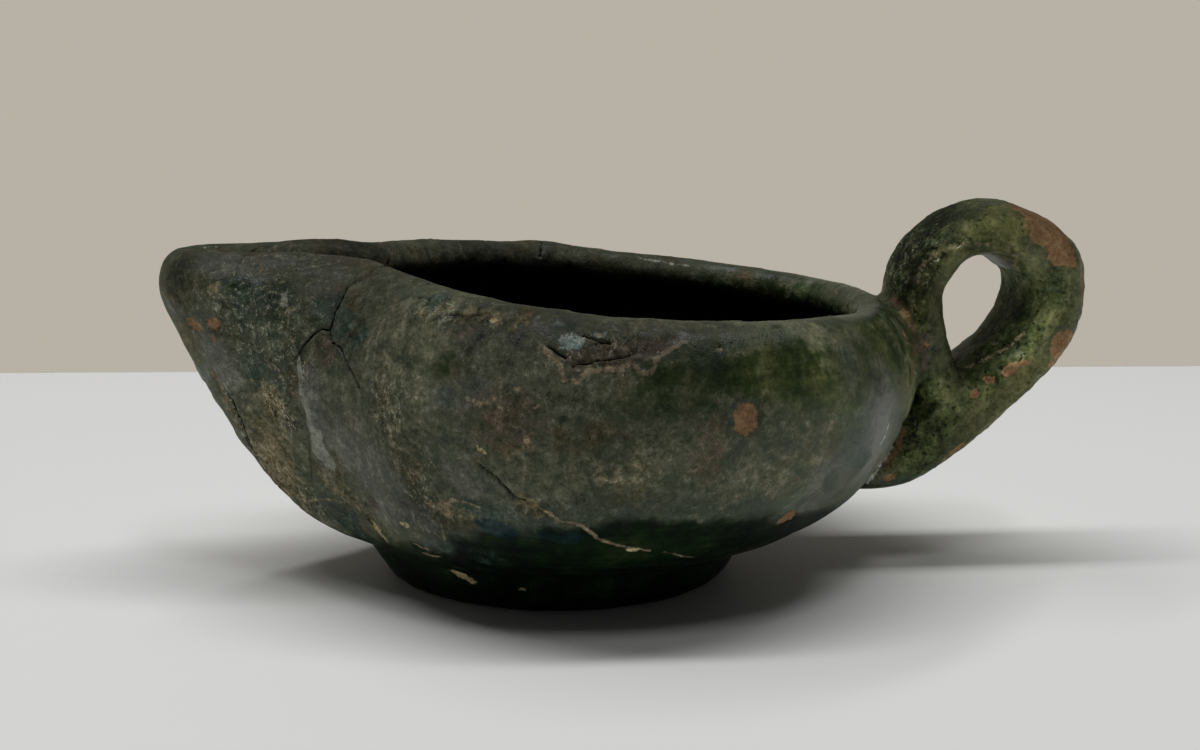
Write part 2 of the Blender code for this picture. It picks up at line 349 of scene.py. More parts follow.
# Dark, nearly bare glaze or soot, and painted shade where noted
DARK_MARKS = {
    "scar_under": (615, 372, 40, 5, 0.8, 8.0),
    "below_scar": (700, 360, 30, 18, 0.5),
    "bowl_mid": (560, 395, 60, 30, 0.35),
    "crack_right": (362, 312, 20, 26, 0.5),
    "spout_tip": (176, 282, 12, 30, 0.6),
    "handle_outer": (918, 240, 50, 22, 1.0, 46.0),
    "handle_low": (925, 425, 28, 50, 0.8, -28.0),
    # Painted shade on the strap beside the hole
    "handle_shade": (1050, 288, 16, 20, 0.6),
    "handle_inside": (1000, 322, 30, 48, 0.7, -30.0),
}

# Tone and painted light: where the colour is made darker or lighter than its own colours say, with the share
# of light added or taken away. Some marks are darker or lighter glaze; others are painted light and painted
# shade, such as the lightened hollows of the strap and its root.
TONE_AND_PAINTED_LIGHT_MARKS = {
    "spout_tip": (172, 292, 16, 28, -0.3),
    "spout_low": (215, 345, 22, 20, -0.25),
    "bowl_left": (395, 376, 34, 36, 0.35),
    "bowl_left_low": (402, 465, 22, 36, -0.25),
    "rim_left": (428, 300, 50, 14, 0.6, -12.0),
    "middle_left": (515, 415, 44, 28, 0.1),
    "middle": (612, 432, 66, 30, -0.25),
    "below_scar": (690, 382, 50, 34, -0.4),
    "right": (815, 376, 60, 26, -0.25),
    "right_edge": (862, 365, 26, 34, -0.32),
    "low_left": (432, 520, 40, 16, -0.35),
    "low_middle": (600, 503, 90, 9, -0.2),
    "rim_right": (770, 328, 110, 8, 0.6),
    "far_lip": (345, 243, 76, 6, -0.6),
    "far_rim_left": (470, 246, 110, 7, -0.4, 2.0),
    "far_rim": (800, 288, 110, 9, 0.7, 5.0),
    "strap": (1000, 330, 130, 150, 0.42),
    "strap_top": (1000, 225, 34, 18, 0.12, 6.0),
    "strap_inside": (1000, 322, 26, 48, 1.6, -30.0),
    "strap_left": (924, 300, 12, 34, -0.68),
    "strap_low": (922, 435, 22, 40, 1.4, -20.0),
    "strap_root": (912, 380, 9, 34, 0.5),
    "strap_low_right": (1040, 345, 28, 20, 0.8, -40.0),
    "strap_right": (1060, 285, 22, 34, 0.7),
    "strap_outer": (920, 238, 40, 20, 0.25, 46.0),
}

# The coats that lie where their marks say, with the softness of their borders
COATS = {
    "clay": (CLAY_MARKS, 0.8),
    "cream": (CREAM_MARKS, 0.8),
    "tan": (TAN_MARKS, 1.3),
    "olive": (OLIVE_MARKS, 1.3),
    "moss": (MOSS_MARKS, 1.3),
    "purple": (PURPLE_MARKS, 1.0),
    "grey": (GREY_MARKS, 1.3),
    "green": (GREEN_MARKS, 1.3),
    "teal": (TEAL_MARKS, 1.3),
    "blue": (BLUE_MARKS, 1.0),
    "dark": (DARK_MARKS, 1.3),
    "white": (WHITE_MARKS, 1.0),
    "flake": (FLAKE_MARKS, 0.8),
    "crazed": (CRAZED_MARKS, 1.3),
}

# Pushes of the skin that fit the outline to the photograph, with the strength in millimetres
PUSH_MARKS = {
    "spout_under": (206, 380, 26, 60, -1.2, 32.0),
    "spout_heel": (338, 530, 50, 16, 0.8, -24.0),
    "foot_left": (392, 572, 26, 20, 0.25, -40.0),
    "handle_right_top": (1062, 228, 40, 26, 0.45, -48.0),
    "handle_left_top": (893, 262, 14, 40, 0.45, -12.0),
    "handle_right": (1084, 296, 12, 36, -0.3),
    "handle_right_low": (1070, 342, 26, 30, 0.5, 50.0),
    "hole_right": (984, 318, 22, 30, -0.7, 30.0),
    "hole_left": (947, 332, 14, 34, 0.5),
    "bowl_right_low": (838, 508, 36, 12, 0.3, 30.0),
    "rim_bump": (541, 243, 22, 5, 0.3),
    "root_hollow": (922, 399, 9, 12, 0.8),
}

# Lines that are cracked open, with half their width in millimetres
CRACK_WIDTHS = (
    (RIM_CRACK, 0.30),
    (CRACK_LEFT, 0.24),
    (CRACK_RIGHT, 0.22),
    (LOW_CRACK, 0.17),
    (UNDERSIDE_FLAKE, 0.5),
    (FAR_RIM_CRACK, 0.25),
    (SPOUT_TOP_CRACK, 0.18),
    (SCAR_LEFT_STEP, 0.24),
    (SCAR_LOW_STEP, 0.16),
    (SCAR_TOP, 0.2),
    (RIM_DENT, 0.16),
    (RIM_NICK, 0.18),
    (FLAKE_EDGE, 0.2),
    (CREASE_CRACK, 0.14),
)
CRACK_DEPTH = 0.45
CREASE_DEPTH = 0.35

# Pale lines, with half their width in millimetres and their strength
VEIN_WIDTHS = (
    (LOW_SEAM, 0.36, 0.85),
    (SEAM_END, 0.25, 0.7),
    (SCAR_EDGE, 0.55, 0.8),
    (LEFT_VEIN, 0.32, 0.8),
    (SHORT_VEIN, 0.35, 0.8),
    (MIDDLE_VEIN, 0.32, 0.65),
    (ROUND_VEIN, 0.5, 0.52),
    (UPPER_VEIN, 0.5, 0.48),
    (BRANCH_VEIN, 0.4, 0.45),
    (FOOT_STREAK, 0.26, 1.0),
    (FOOT_STREAK_LOW, 0.22, 1.0),
    (LOW_FLAKE, 0.3, 0.6),
    # The handle's ridges, raised and painted pale as highlights along them
    (HANDLE_RIDGE, 0.6, 0.45),
    (HANDLE_LOW_RIDGE, 0.45, 0.55),
) + tuple((line, 0.2, 0.95) for line in SPOUT_SCRATCHES)
VEIN_HEIGHT = 0.12

# Painted highlights and reflections along edges and rims, in the same way
GLINT_WIDTHS = (
    (RIGHT_SHEEN, 0.55, 0.55),
    (SHEEN_STREAK, 0.35, 0.5),
    (LIP_GLINT, 0.3, 0.5),
    (FAR_LIP_GLINT, 0.3, 0.8),
    (FAR_RIM_GLINT, 0.3, 0.5),
    (RIDGE_GLINT, 0.22, 0.8),
    (RIDGE_GLINT_LOW, 0.18, 0.6),
)

# How far the rim rises above the plain form, in millimetres, by the place along the lamp
RIM_PLACES = (-42.0, -38.0, -34.0, -30.0, -24.0, -18.0, -7.0, 4.0, 9.0, 14.0, 20.0, 26.0, 33.0, 38.0, 44.0)
FAR_RIM_RISES = (0.0, 0.1, 0.6, 1.15, 0.95, 0.75, 0.85, 0.8, 0.5, 0.45, 0.4, 0.35, 0.35, 0.45, 0.5)
NEAR_RIM_RISES = (0.0, 0.0, 0.15, 0.4, 0.5, 0.5, 0.15, 0.1, 0.25, 0.4, 0.6, 0.7, 0.65, 0.45, 0.3)
RIM_RISE_HEIGHTS = (31.0, 37.0)
RIM_HEIGHT = 40.1
RIM_FALL = 0.083
# Depths below the rim over which the inside turns dark: soot, and painted shade that deepens into the bowl
SOOT_AND_SHADE_DEPTHS = (1.8, 5.2)

# Relief of the skin: heights in millimetres and grain sizes
WOBBLE = 0.22
WOBBLE_SIZE = 17.0
DENTS = 0.10
DENT_SIZE = 6.0
CRUST_SIZE = 2.4
FINE_RELIEF = 0.02
CRUST_RELIEF = 0.05
HANDLE_RELIEF = 0.15
CRAZED_RELIEF = 0.10
CRAZED_SIZE = 0.9
GROOVE_DEPTH = 0.3
CREASE_WIDTH = 0.8
SCAR_DEPTH = 0.12
SCAR_RELIEF = 0.22
SCAR_LAYERS = 3.0
CLAY_DEPTH = 0.22
CREAM_DEPTH = 0.2
CHIP_EDGE = (0.3, 0.6)
SCAR_BORDER = (0.2, 0.7)
PIT_LEVELS = (0.45, 0.62)
PIT_SIZE = 1.5
PIT_DEPTH = 0.35
BUMP_HEIGHT = 0.22

# How far the borders of marks wander, in millimetres, over these distances. Lines wander by a share of it,
# and marks below the even size less.
WANDER = 1.1
WANDER_SIZE = 2.8
FINE_WANDER = 0.4
FINE_WANDER_SIZE = 0.9
FRAY_SHARE = 0.45
WANDER_SEEDS = (11, 12, 13)
EVEN_SIZE = 5.0
CLAY_EVENNESS = 0.8
WIDE_SOFTNESS = 1.6

# How marks are laid on the skin: their least slant and depth, how far a surface may turn away from them,
# and the step in pixels along a line
LEAST_SLANT = 0.4
LEAST_DEPTH = 1.5
DEPTH_SHARE = 0.8
LEAST_FACING = 0.1
PIXEL_STEP = 3.0

# Dirt: its amount from the spout to the handle, and the height of its lower edge along the bowl
DIRT_PLACES = (-53.0, -30.0, -15.0, 5.0, 20.0, 32.0, 42.0)
DIRT_AMOUNTS = (0.66, 0.78, 0.80, 0.74, 0.62, 0.42, 0.36)
HANDLE_DIRT = 0.14
CLEAN_SHARE = 0.85
LOW_EDGE_PLACES = (-28.0, -19.0, -9.0, 2.0, 14.0, 27.0, 38.0)
LOW_EDGE_HEIGHTS = (7.5, 10.5, 13.9, 16.1, 16.2, 14.2, 12.0)
LOW_EDGE_SOFTNESS = 1.3
BAND_HEIGHT = 4.5
BAND_START = (-20.0, -2.0)
FAR_SIDE = (-2.0, 8.0)

# Painted shading: the colour is painted darker the more the skin faces up, where the light from above is
# strongest, and a little lighter where it faces down
FACING = (-1.0, -0.5, -0.2, 0.1, 0.35, 0.6, 0.85, 1.0)
PAINTED_SHADING_BY_FACING = (1.1, 1.15, 1.12, 1.0, 0.82, 0.62, 0.48, 0.42)

# Coats, each from its darkest to its palest colour, as 8-bit values that look so in the photograph
SEEN_TO_ALBEDO = 2.2
NOISE_SPAN = 0.24
INK = (7, 11, 7)
CRACK = (4, 5, 3)
# Painted highlight colour
GLINT = (170, 172, 164)
SCRATCH = (146, 150, 134)
FLECK = (150, 142, 116)
GLAZE = ((6, 10, 4), (16, 28, 9), (28, 41, 14), (42, 53, 23), (64, 71, 37), (92, 92, 58))
LOW_GLAZE = ((1, 3, 1), (2, 7, 3), (5, 14, 5), (10, 24, 7), (24, 32, 16))
HANDLE_GLAZE = (
    (8, 10, 6), (24, 29, 14), (38, 44, 23), (52, 56, 33), (66, 68, 42), (80, 81, 53), (106, 102, 74),
)
DIRT = ((26, 28, 22), (48, 50, 41), (64, 66, 54), (78, 78, 66), (104, 104, 90))
BROWN_DIRT = ((26, 22, 15), (46, 42, 29), (62, 58, 43), (78, 70, 54), (104, 94, 76))
BAND_GREEN = ((18, 28, 20), (32, 42, 33), (44, 52, 44), (56, 62, 52))
OLIVE = ((32, 36, 22), (56, 59, 43), (76, 78, 60), (94, 95, 76), (118, 118, 96))
MOSS = ((34, 38, 20), (54, 57, 33), (72, 73, 44), (88, 87, 56), (110, 106, 78))
TAN = ((36, 31, 20), (66, 60, 43), (88, 82, 62), (112, 102, 80), (150, 140, 112))
TEAL = ((12, 22, 18), (24, 38, 31), (38, 53, 45), (62, 75, 66))
FLAKE = ((74, 76, 68), (100, 102, 92), (122, 124, 114))
GREY = ((48, 52, 47), (68, 70, 65), (84, 86, 79), (104, 104, 98))
PURPLE = ((24, 19, 15), (45, 39, 31), (66, 57, 48), (94, 84, 72))
BLUE = ((4, 15, 16), (7, 28, 33), (16, 40, 42))
# Iridescent glaze and painted highlights
WHITE = ((56, 70, 66), (92, 108, 104), (128, 140, 136), (196, 204, 200))
CLAY = ((46, 34, 22), (78, 60, 42), (98, 76, 54), (116, 92, 68), (142, 118, 92))
CREAM = ((60, 54, 38), (110, 100, 72), (142, 130, 98), (168, 156, 124))
VEIN = ((46, 40, 31), (80, 71, 56), (106, 96, 78), (140, 128, 106))
GROOVE = ((26, 22, 14), (56, 44, 30), (84, 66, 46))
# The dark inside of the bowl and the spout: soot and painted shade
INSIDE_SOOT_AND_SHADE = ((3, 5, 3), (5, 8, 5), (18, 22, 14))

# Floor, room and light
FLOOR_REACH = 4.0
FLOOR_BACK = 0.1423
FLOOR_TURN = radians(-3.2)
FLOOR_GAP = 0.0001
FLOOR_COLOUR = (0.90, 0.915, 0.925, 1.0)
FLOOR_ROUGHNESS = 0.6
ROOM_FRONT_Y = -0.2
ROOM_BACK_Y = 0.75
ROOM_LOW_Z = 0.12
ROOM_HIGH_Z = 0.55
ROOM_DIM_SHARE = 0.2
ROOM_FRONT_COLOUR = (0.03, 0.03, 0.03, 1.0)
ROOM_BACK_COLOUR = (0.48, 0.445, 0.38, 1.0)
WARM_WHITE = (1.0, 0.985, 0.965)
LIGHTS = {
    "overhead_strip": ((0.0, 0.0, 0.85), (1.1, 0.1), 4.35),
    "front_right": ((0.12, -0.35, 0.85), (0.12, 0.2), 0.75),
    "back_strip": ((-0.25, 0.30, 0.85), (0.6, 0.1), 1.22),
}


def camera_axes():
    """The camera's right, up and backward directions."""
    turn = Matrix.Rotation(CAMERA_TURN, 3, "Z") @ Matrix.Rotation(0.5 * pi + CAMERA_PITCH, 3, "X")
    return turn.col[0].copy(), turn.col[1].copy(), turn.col[2].copy()


RIGHT, UP, BACK = camera_axes()


def pixel_ray(x, y):
    """The direction from the camera through a pixel of the photograph."""
    across = (x - 0.5 * FRAME_WIDTH) / PIXELS_PER_SLOPE
    above = (0.5 * FRAME_HEIGHT - y) / PIXELS_PER_SLOPE
    return (RIGHT * across + UP * above - BACK).normalized()


def smooth_step(values, low, high):
    share = np.clip((values - low) / (high - low), 0.0, 1.0)
    return share * share * (3.0 - 2.0 * share)


# Mesh arrays


def arrays_of(mesh):
    """A mesh's points in millimetres and its edges, as arrays."""
    points = np.empty(len(mesh.vertices) * 3)
    mesh.vertices.foreach_get("co", points)
    edges = np.empty(len(mesh.edges) * 2, int)
    mesh.edges.foreach_get("vertices", edges)
    return points.reshape(-1, 3) / MM, edges.reshape(-1, 2)


def put_points(mesh, points):
    mesh.vertices.foreach_set("co", (points * MM).astype(np.float32).ravel())
    mesh.update()


def normals_of(mesh):
    normals = np.empty(len(mesh.vertices) * 3)
    mesh.vertices.foreach_get("normal", normals)
    return normals.reshape(-1, 3)


def neighbour_mean(values, edges):
    """The mean of each point's neighbours."""
    count = len(values)
    columns = values.reshape(count, -1)
    ends = np.concatenate([edges[:, 0], edges[:, 1]])
    others = np.concatenate([edges[:, 1], edges[:, 0]])
    number = np.maximum(np.bincount(ends, minlength=count), 1)
    means = [np.bincount(ends, weights=column[others], minlength=count) / number for column in columns.T]
    return np.stack(means, axis=1).reshape(values.shape)


def smooth_without_shrinking(points, edges, passes):
    for _ in range(passes):
        for share in (SMOOTH_SHARE, UNSHRINK_SHARE):
            points = points + share * (neighbour_mean(points, edges) - points)
    return points


def tree_of(mesh):
    points, _ = arrays_of(mesh)
    return BVHTree.FromPolygons(points.tolist(), [list(f.vertices) for f in mesh.polygons])


# The skin's form


def even_skin():
    """The CAD solid's surface as an even mesh, with its facets smoothed away."""
    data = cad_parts["oil_lamp"].data.copy()
    rough = bpy.data.objects.new("rough_skin", data)
    bpy.context.scene.collection.objects.link(rough)
    even = rough.modifiers.new("even", "REMESH")
    even.mode = "VOXEL"
    even.voxel_size = SKIN_STEP * MM
    graph = bpy.context.evaluated_depsgraph_get()
    mesh = bpy.data.meshes.new_from_object(rough.evaluated_get(graph))
    bpy.data.objects.remove(rough, do_unlink=True)
    points, edges = arrays_of(mesh)
    put_points(mesh, smooth_without_shrinking(points, edges, CAD_FACET_PASSES))
    return mesh


def faces_in_view(mesh, tree):
    """The faces that the photograph's camera sees."""
    seen = []
    for face in mesh.polygons:
        centre = face.center / MM
        towards = CAMERA_PLACE - centre
        if face.normal.dot(towards) <= 0.0:
            continue
        if tree.ray_cast(centre + face.normal * 0.4, towards.normalized())[0] is None:
            seen.append(face.index)
    return seen


def near_tree(places):
    """A tree that finds the nearest of these places."""
    near = kdtree.KDTree(len(places))
    for i, place in enumerate(places):
        near.insert(place, i)
    near.balance()
    return near


def faces_near(mesh, places, reach):
    """The faces whose centres are within reach of these places."""
    near = near_tree(places)
    return [f.index for f in mesh.polygons if near.find(f.center / MM)[2] < reach]


def refine(mesh, face_numbers):
    """Cuts these faces into four."""
    work = bmesh.new()
    work.from_mesh(mesh)
    work.faces.ensure_lookup_table()
    chosen = {edge.index: edge for number in face_numbers for edge in work.faces[number].edges}
    edges = [chosen[index] for index in sorted(chosen)]
    bmesh.ops.subdivide_edges(work, edges=edges, cuts=1, use_grid_fill=True)
    work.to_mesh(mesh)
    work.free()
    points, edges = arrays_of(mesh)
    put_points(mesh, smooth_without_shrinking(points, edges, REFINED_PASSES))


def place_on(tree, x, y):
    """The skin's place and outward direction at a pixel, or those of the nearest skin beside the outline."""
    ray = pixel_ray(x, y)
    hit, normal, _, _ = tree.ray_cast(CAMERA_PLACE, ray)
    if hit is not None:
        return hit, normal
    depths = np.arange(NEAREST_DEPTH, FARTHEST_DEPTH, DEPTH_STEP)
    found = [tree.find_nearest(CAMERA_PLACE + ray * depth) for depth in depths]
    nearest = min(found, key=lambda item: item[3])
    return nearest[0], nearest[1]


def lay_line(tree, pixels):
    """Closely spaced places along a line of pixels, laid on the skin."""
    knots = []
    for (x0, y0), (x1, y1) in zip(pixels, pixels[1:]):
        steps = max(1, round(hypot(x1 - x0, y1 - y0) / PIXEL_STEP))
        for i in range(steps):
            knots.append(place_on(tree, x0 + (x1 - x0) * i / steps, y0 + (y1 - y0) * i / steps)[0])
    knots.append(place_on(tree, *pixels[-1])[0])
    places = []
    for a, b in zip(knots, knots[1:]):
        steps = max(1, round((b - a).length / STROKE_STEP))
        places += [a.lerp(b, i / steps) for i in range(steps)]
    return places + [knots[-1]]


class Skin:
    """The lamp's skin while it is worked on: points, outward directions, edges and a tree for rays."""

    def __init__(self, mesh):
        self.points, self.edges = arrays_of(mesh)
        self.normals = normals_of(mesh)
        self.tree = tree_of(mesh)
        fine = self.wander(FINE_WANDER_SIZE, FINE_WANDER)
        self.wandering = self.points + self.wander(WANDER_SIZE, WANDER) + fine
        self.frayed = self.points + FRAY_SHARE * fine

    def wander(self, size, reach):
        """A smooth random offset for each point."""
        return np.stack([self.noise(size, seed) for seed in WANDER_SEEDS], axis=1) * reach

    def spot(self, row, softness):
        """How far each point lies in a mark: its strength well inside it and 0 outside."""
        mark = Mark(*row)
        centre, normal = place_on(self.tree, mark.x, mark.y)
        size = (centre - CAMERA_PLACE).dot(-BACK) / PIXELS_PER_SLOPE
        across = RIGHT - normal * RIGHT.dot(normal)
        slant = max(across.length, LEAST_SLANT)
        across.normalize()
        upward = normal.cross(across)
        lean = max(abs(upward.dot(UP)), LEAST_SLANT)
        turn = radians(mark.turn)
        along = across * cos(turn) + upward * sin(turn)
        beside = upward * cos(turn) - across * sin(turn)
        wide = mark.wide * size / slant
        high = mark.high * size / lean
        raggedness = min(1.0, max(wide, high) / EVEN_SIZE)
        offsets = self.points + raggedness * (self.wandering - self.points) - np.array(centre)
        reach = np.hypot(offsets @ np.array(along) / wide, offsets @ np.array(beside) / high)
        share = smooth_step(1.0 - reach, -0.5 * softness, 0.5 * softness)
        same_side = self.normals @ np.array(normal) > LEAST_FACING
        shallow = np.abs(offsets @ np.array(normal)) < max(LEAST_DEPTH, DEPTH_SHARE * max(wide, high))
        return share * same_side * shallow * mark.strength

    def spots(self, marks, softness):
        """The strongest of several marks at each point."""
        return np.max([self.spot(row, softness) for row in marks.values()], axis=0)

    def distance(self, pixels, reach):
        """Each point's distance from a line of pixels laid on the skin, up to reach."""
        places = lay_line(self.tree, pixels)
        near = near_tree(places)
        low = np.min(places, axis=0) - reach
        high = np.max(places, axis=0) + reach
        inside = np.all((self.points > low) & (self.points < high), axis=1)
        distances = np.full(len(self.points), float(reach))
        for number in np.flatnonzero(inside):
            distances[number] = min(near.find(self.frayed[number])[2], reach)
        return distances

    def noise(self, size, seed, octaves=1, layers=1.0):
        """Smooth noise from about -1 to 1 at each point, of this grain size, flattened in layers."""
        shift = Vector((31.7 * seed, -17.3 * seed, 11.9 * seed))
        places = self.points * np.array((1.0, 1.0, layers)) / size
        if octaves == 1:
            return np.array([noise.noise(Vector(place) + shift) for place in places])
        return np.array([noise.fractal(Vector(place) + shift, 0.9, 2.1, octaves) for place in places])


# What belongs where


def inside_share(skin):
    """1 on the bowl's and the spout's inside, 0 outside, softened at the rim."""
    inner = np.zeros(len(skin.points))
    for number, point in enumerate(skin.points):
        if hypot(point[0] - BOWL_CENTRE_X, point[1]) > BOWL_INNER_REACH and point[0] > -20.0:
            continue
        start = Vector(point) + Vector(skin.normals[number]) * 0.25
        for cavity in CAVITY_POINTS:
            towards = start - cavity
            if Vector(skin.normals[number]).dot(towards) > 0.0:
                continue
            hit = skin.tree.ray_cast(cavity, towards.normalized(), towards.length - 0.1)[0]
            if hit is None:
                inner[number] = 1.0
                break
    for _ in range(3):
        inner = 0.5 * inner + 0.5 * neighbour_mean(inner, skin.edges)
    x, _, z = skin.wandering.T
    # Dark from a little below the rim downward: soot, and painted shade deepening into the bowl
    return inner * smooth_step(RIM_HEIGHT - RIM_FALL * x - z, *SOOT_AND_SHADE_DEPTHS)


def handle_share(skin):
    """1 on the strap handle, 0 on the bowl."""
    x, y, z = skin.points.T
    past = x - HANDLE_START_X - np.minimum(z - BELLY_HEIGHT, 0.0) * HANDLE_ROOT_SLOPE
    return smooth_step(past, -0.6, 1.2) * (np.abs(y) < HANDLE_HALF_WIDTH) * (z > HANDLE_ROOT_HEIGHT)


def along_lines(skin, lines):
    """1 on the middle of these lines and 0 off them. Each comes with half its width and its strength."""
    share = np.zeros(len(skin.points))
    for line, half_width, strength in lines:
        near = 1.0 - smooth_step(skin.distance(line, 2.0), 0.3 * half_width, half_width)
        share = np.maximum(share, strength * near)
    return share


def tone_and_painted_light(skin):
    """The factor by which each point is darkened or lightened, in part painted light and painted shade."""
    factor = np.ones(len(skin.points))
    for row in TONE_AND_PAINTED_LIGHT_MARKS.values():
        factor *= 1.0 + skin.spot(row, WIDE_SOFTNESS)
    return factor


def make_masks(skin):
    """What belongs where, as a share from 0 to 1 at each point of the skin."""
    masks = {name: skin.spots(marks, softness) for name, (marks, softness) in COATS.items()}
    handle = handle_share(skin)
    bowl = 1.0 - handle
    x, y, z = skin.wandering.T
    above_low = z - np.interp(x, LOW_EDGE_PLACES, LOW_EDGE_HEIGHTS)
    above = smooth_step(above_low, -LOW_EDGE_SOFTNESS, LOW_EDGE_SOFTNESS)
    clean = 1.0 - CLEAN_SHARE * masks["green"]
    tone = 1.0 + (tone_and_painted_light(skin) - 1.0) * (1.0 - CLAY_EVENNESS * masks["clay"])
    band = (1.0 - smooth_step(above_low, 0.0, BAND_HEIGHT)) * smooth_step(x, *BAND_START)
    masks["inside"] = inside_share(skin)
    masks["handle"] = handle
    masks["dirt"] = np.interp(x, DIRT_PLACES, DIRT_AMOUNTS) * above * bowl * clean + HANDLE_DIRT * handle
    masks["low"] = (1.0 - above) * bowl
    masks["band"] = band * above * bowl
    masks["far"] = smooth_step(y, *FAR_SIDE)
    # Painted shading by how far the skin faces up, times the tone and painted light of the marks
    masks["tone_and_painted_shading"] = np.interp(skin.normals[:, 2], FACING, PAINTED_SHADING_BY_FACING) * tone
    masks["olive"] = np.maximum(masks["olive"], along_lines(skin, [(RIM_CREST, 1.0, 1.0)]))
    masks["crack"] = along_lines(skin, [(line, half_width, 1.0) for line, half_width in CRACK_WIDTHS])
    masks["vein"] = along_lines(skin, VEIN_WIDTHS)
    masks["glint"] = along_lines(skin, GLINT_WIDTHS)
    masks["groove"] = 1.0 - smooth_step(skin.distance(HANDLE_SEAM, 3.0), 0.2, 1.2)
    return masks


def rim_rise(skin):
    """How far the rim stands above the plain form, on the far side and on the near side."""
    x, y, z = skin.points.T
    far = np.interp(x, RIM_PLACES, FAR_RIM_RISES)
    near = np.interp(x, RIM_PLACES, NEAR_RIM_RISES)
    side = smooth_step(y, -3.0, 3.0)
    on_bowl = smooth_step(HANDLE_START_X - x, -2.0, 2.0)
    return (far * side + near * (1.0 - side)) * smooth_step(z, *RIM_RISE_HEIGHTS) * on_bowl


def relief(skin, masks):
    """How far each point is raised, in millimetres: hand-made unevenness, cracks, chips and pits."""
    outside = 1.0 - masks["inside"]
    handle = masks["handle"]
    raised = WOBBLE * skin.noise(WOBBLE_SIZE, 1) + DENTS * skin.noise(DENT_SIZE, 2)
    coarse = skin.noise(CRUST_SIZE, 3, 3)
    raised += coarse * (FINE_RELIEF + CRUST_RELIEF * masks["dirt"] * outside + HANDLE_RELIEF * handle)
    raised += CRAZED_RELIEF * masks["crazed"] * skin.noise(CRAZED_SIZE, 4, 2)
    for row in PUSH_MARKS.values():
        raised += skin.spot(row, WIDE_SOFTNESS)
    raised += VEIN_HEIGHT * masks["vein"] - CRACK_DEPTH * masks["crack"] - GROOVE_DEPTH * masks["groove"]
    raised -= CREASE_DEPTH * np.exp(-(skin.distance(PINCH_CREASE, 4.0) / CREASE_WIDTH) ** 2)
    raised -= CLAY_DEPTH * smooth_step(masks["clay"], *CHIP_EDGE)
    raised -= CREAM_DEPTH * smooth_step(masks["cream"], *CHIP_EDGE)
    scar_marks = {name: PURPLE_MARKS[name] for name in ("scar", "scar_right")}
    scar = smooth_step(skin.spots(scar_marks, 0.8), *SCAR_BORDER)
    raised -= scar * (SCAR_DEPTH + SCAR_RELIEF * skin.noise(CRUST_SIZE, 6, 3, SCAR_LAYERS))
    pits = smooth_step(skin.noise(PIT_SIZE, 5), *PIT_LEVELS)
    in_view = smooth_step(-skin.normals[:, 1], 0.2, 0.5)
    raised -= PIT_DEPTH * pits * in_view * np.maximum(handle, 0.3 * masks["low"])
    return raised


def lamp_skin():
    """The finished mesh of the lamp with its masks as attributes."""
    mesh = even_skin()
    tree = tree_of(mesh)
    refine(mesh, faces_in_view(mesh, tree))
    lines = [row[0] for row in CRACK_WIDTHS + VEIN_WIDTHS + GLINT_WIDTHS]
    places = [place for line in lines for place in lay_line(tree, line)]
    refine(mesh, faces_near(mesh, places, CRACK_BAND))
    skin = Skin(mesh)
    masks = make_masks(skin)
    points = skin.points + skin.normals * relief(skin, masks)[:, None]
    points[:, 2] += rim_rise(skin)
    low = np.array(CAD_LOW) / MM
    high = np.array(CAD_HIGH) / MM
    put_points(mesh, np.clip(points, low, high))
    for name, values in masks.items():
        attribute = mesh.attributes.new(name, "FLOAT", "POINT")
        attribute.data.foreach_set("value", values.astype(np.float32))
    mesh.shade_smooth()
    return mesh


# Materials


def albedo(red, green, blue):
    """The reflectance of what looks this 8-bit colour on the lamp's upright near side in the photograph."""
    shares = [value / 255.0 for value in (red, green, blue)]
    linear = [((s + 0.055) / 1.055) ** 2.4 if s > 0.04045 else s / 12.92 for s in shares]
    return (*(min(value * SEEN_TO_ALBEDO, 0.9) for value in linear), 1.0)


